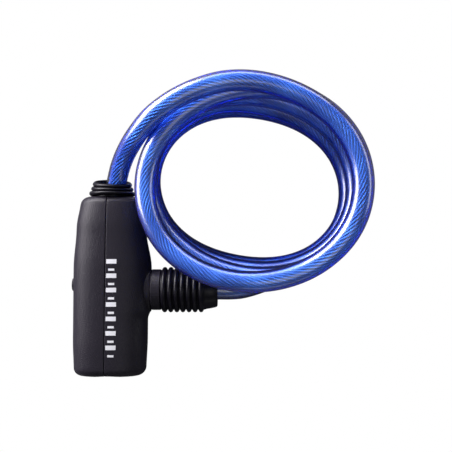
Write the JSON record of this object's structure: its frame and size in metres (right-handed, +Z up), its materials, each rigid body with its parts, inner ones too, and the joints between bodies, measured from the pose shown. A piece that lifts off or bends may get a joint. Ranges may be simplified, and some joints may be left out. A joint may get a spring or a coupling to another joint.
{
  "type": "cable lock",
  "caption": "Keyed cable lock: black two-shell head with ringed rubber boot, coiled blue coated steel cable and a ribbed plug that pulls out sideways.",
  "frame": {"origin": "on the table, under the middle of the lock head's length and width", "axes": "+Y along the lock head from the key end to the cable boot, +X the way the plug slides out, +Z up from the table, which is the head's front side"},
  "size_m": [0.1772, 0.1738, 0.0602],
  "materials": {
    "shell_plastic": "black moulded plastic with a fine satin grain",
    "rubber": "smooth black rubber, slightly glossy",
    "die_cast_zinc": "die-cast zinc alloy, as cast",
    "steel": "bright turned and pressed steel",
    "brass": "machined brass",
    "blue_jacket": "glossy translucent blue vinyl over a stranded steel rope"
  },
  "bodies": {
    "lock_head": {"left_shell": "shell_plastic", "right_shell": "shell_plastic", "lock_frame": "die_cast_zinc", "end_bezel": "shell_plastic", "cylinder_housing": "die_cast_zinc", "housing_pin": "steel", "socket_sleeve": "steel", "side_cap": "shell_plastic", "lead_ferrule": "steel", "anchor_pin": "steel", "top_boot": "rubber", "latch_spring": "steel", "cable_lead": "blue_jacket"},
    "core": {"cylinder_core": "brass", "cam": "die_cast_zinc", "cam_screw": "steel", "core_clip": "steel", "wafer_spring_1": "steel", "wafer_spring_2": "steel", "wafer_spring_3": "steel", "wafer_spring_4": "steel", "wafer_spring_5": "steel"},
    "sprung_wafer_1": {"wafer_1": "brass"},
    "sprung_wafer_2": {"wafer_2": "brass"},
    "sprung_wafer_3": {"wafer_3": "brass"},
    "sprung_wafer_4": {"wafer_4": "brass"},
    "sprung_wafer_5": {"wafer_5": "brass"},
    "latch_block": {"latch": "steel"},
    "plug": {"lock_pin": "steel", "plug_ferrule": "steel", "plug_collar": "shell_plastic", "plug_boot": "rubber", "cable_coil": "blue_jacket", "cable_tail": "blue_jacket"}
  },
  "joints": [
    {"name": "key_turn", "type": "hinge", "parent": "lock_head", "child": "core", "pos_m": [0, -0.0577, 0.016], "axis": [0, -1, 0], "range_deg": [0, 90]},
    {"name": "latch_lift", "type": "slide", "parent": "lock_head", "child": "latch_block", "axis": [0, 0, 1], "range_m": [0, 0.0048], "deforming": ["latch_spring"]},
    {"name": "wafer_slide_1", "type": "slide", "parent": "core", "child": "sprung_wafer_1", "axis": [0, 0, 1], "range_m": [0, 0.0008], "deforming": ["wafer_spring_1"]},
    {"name": "wafer_slide_2", "type": "slide", "parent": "core", "child": "sprung_wafer_2", "axis": [0, 0, 1], "range_m": [0, 0.0008], "deforming": ["wafer_spring_2"]},
    {"name": "wafer_slide_3", "type": "slide", "parent": "core", "child": "sprung_wafer_3", "axis": [0, 0, 1], "range_m": [0, 0.0008], "deforming": ["wafer_spring_3"]},
    {"name": "wafer_slide_4", "type": "slide", "parent": "core", "child": "sprung_wafer_4", "axis": [0, 0, 1], "range_m": [0, 0.0008], "deforming": ["wafer_spring_4"]},
    {"name": "wafer_slide_5", "type": "slide", "parent": "core", "child": "sprung_wafer_5", "axis": [0, 0, 1], "range_m": [0, 0.0008], "deforming": ["wafer_spring_5"]},
    {"name": "plug_slide", "type": "slide", "parent": "lock_head", "child": "plug", "axis": [1, 0, 0], "range_m": [0, 0.024], "deforming": ["cable_lead"]}
  ],
  "couplings": [
    {"joint": "key_turn", "follows": "latch_lift", "rad_per_m": 327.25}
  ]
}
